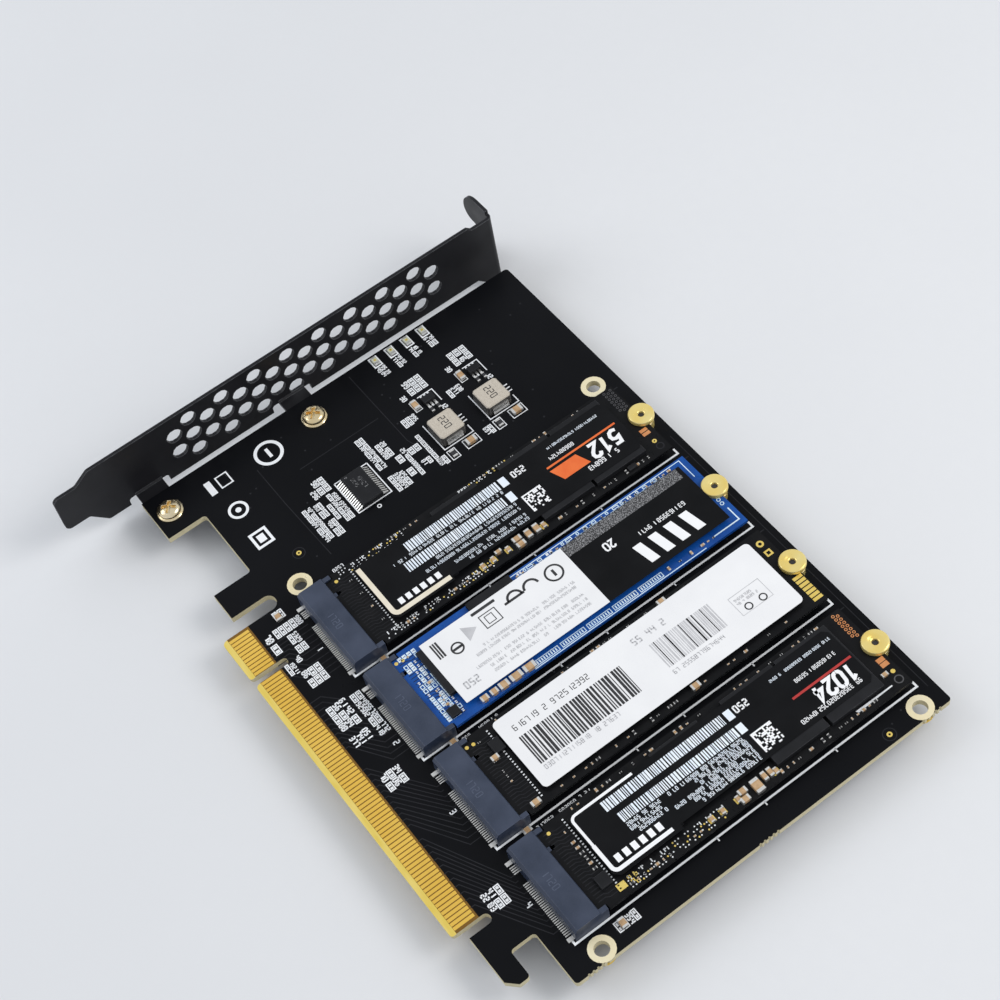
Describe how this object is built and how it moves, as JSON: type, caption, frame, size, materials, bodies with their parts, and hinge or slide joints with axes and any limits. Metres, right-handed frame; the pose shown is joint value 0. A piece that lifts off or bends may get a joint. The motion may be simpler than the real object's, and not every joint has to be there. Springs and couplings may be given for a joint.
{
  "type": "nvme adapter card",
  "caption": "Full-height server expansion card: edge connector along one long edge, vented bracket, row of sockets with slim storage drives screwed down flat.",
  "frame": {"origin": "middle of the key notch of the edge connector, at the connector's lower edge, on the board's component side", "axes": "+X along the card away from the bracket, +Y up the card from the edge connector, +Z out of the component side"},
  "size_m": [0.167, 0.12, 0.0216],
  "materials": {
    "solder_mask": "black solder mask over laminate",
    "gold_contact": "gold plating",
    "eyelet_plating": "pale gold plating",
    "bracket_paint": "black satin powder coat",
    "screw_metal": "nickel plated steel",
    "brass": "turned brass",
    "inductor_body": "pressed metal powder",
    "tinned_metal": "tin plating",
    "package_plastic": "moulded epoxy",
    "lamp_lens": "clear lens over a white body",
    "capacitor_ceramic": "fired ceramic",
    "resistor_ceramic": "black glaze",
    "socket_plastic": "moulded nylon, dark blue-grey",
    "drive_mask": "black solder mask",
    "blue_mask": "blue solder mask",
    "black_label": "printed film",
    "white_label": "printed paper"
  },
  "bodies": {
    "root": {"circuit_board": "solder_mask", "edge_contacts_component_side": "gold_contact", "edge_contacts_solder_side": "gold_contact", "mounting_eyelets": "eyelet_plating", "bracket": "bracket_paint", "bracket_screws": "screw_metal", "drive_standoffs": "brass", "drive_screws": "brass", "inductor_bodies": "inductor_body", "inductor_terminals": "tinned_metal", "clock_buffer": "package_plastic", "clock_buffer_leads": "tinned_metal", "regulators": "package_plastic", "regulator_leads": "tinned_metal", "status_lamps": "lamp_lens", "status_lamp_ends": "tinned_metal", "card_capacitors": "capacitor_ceramic", "card_capacitor_ends": "tinned_metal", "card_resistors": "resistor_ceramic", "card_resistor_ends": "tinned_metal", "socket_1": "socket_plastic", "socket_1_contacts": "tinned_metal", "drive_1_board": "drive_mask", "drive_1_chips": "package_plastic", "drive_1_capacitors": "capacitor_ceramic", "drive_1_capacitor_ends": "tinned_metal", "socket_2": "socket_plastic", "socket_2_contacts": "tinned_metal", "drive_2_board": "blue_mask", "drive_2_chips": "package_plastic", "drive_2_capacitors": "capacitor_ceramic", "drive_2_capacitor_ends": "tinned_metal", "socket_3": "socket_plastic", "socket_3_contacts": "tinned_metal", "drive_3_board": "drive_mask", "drive_3_chips": "package_plastic", "drive_3_capacitors": "capacitor_ceramic", "drive_3_capacitor_ends": "tinned_metal", "socket_4": "socket_plastic", "socket_4_contacts": "tinned_metal", "drive_4_board": "drive_mask", "drive_4_chips": "package_plastic", "drive_4_capacitors": "capacitor_ceramic", "drive_4_capacitor_ends": "tinned_metal", "drive_1_label": "black_label", "drive_4_label": "black_label", "drive_2_black_label": "black_label", "drive_2_white_label": "white_label", "drive_3_label": "white_label"}
  },
  "joints": []
}
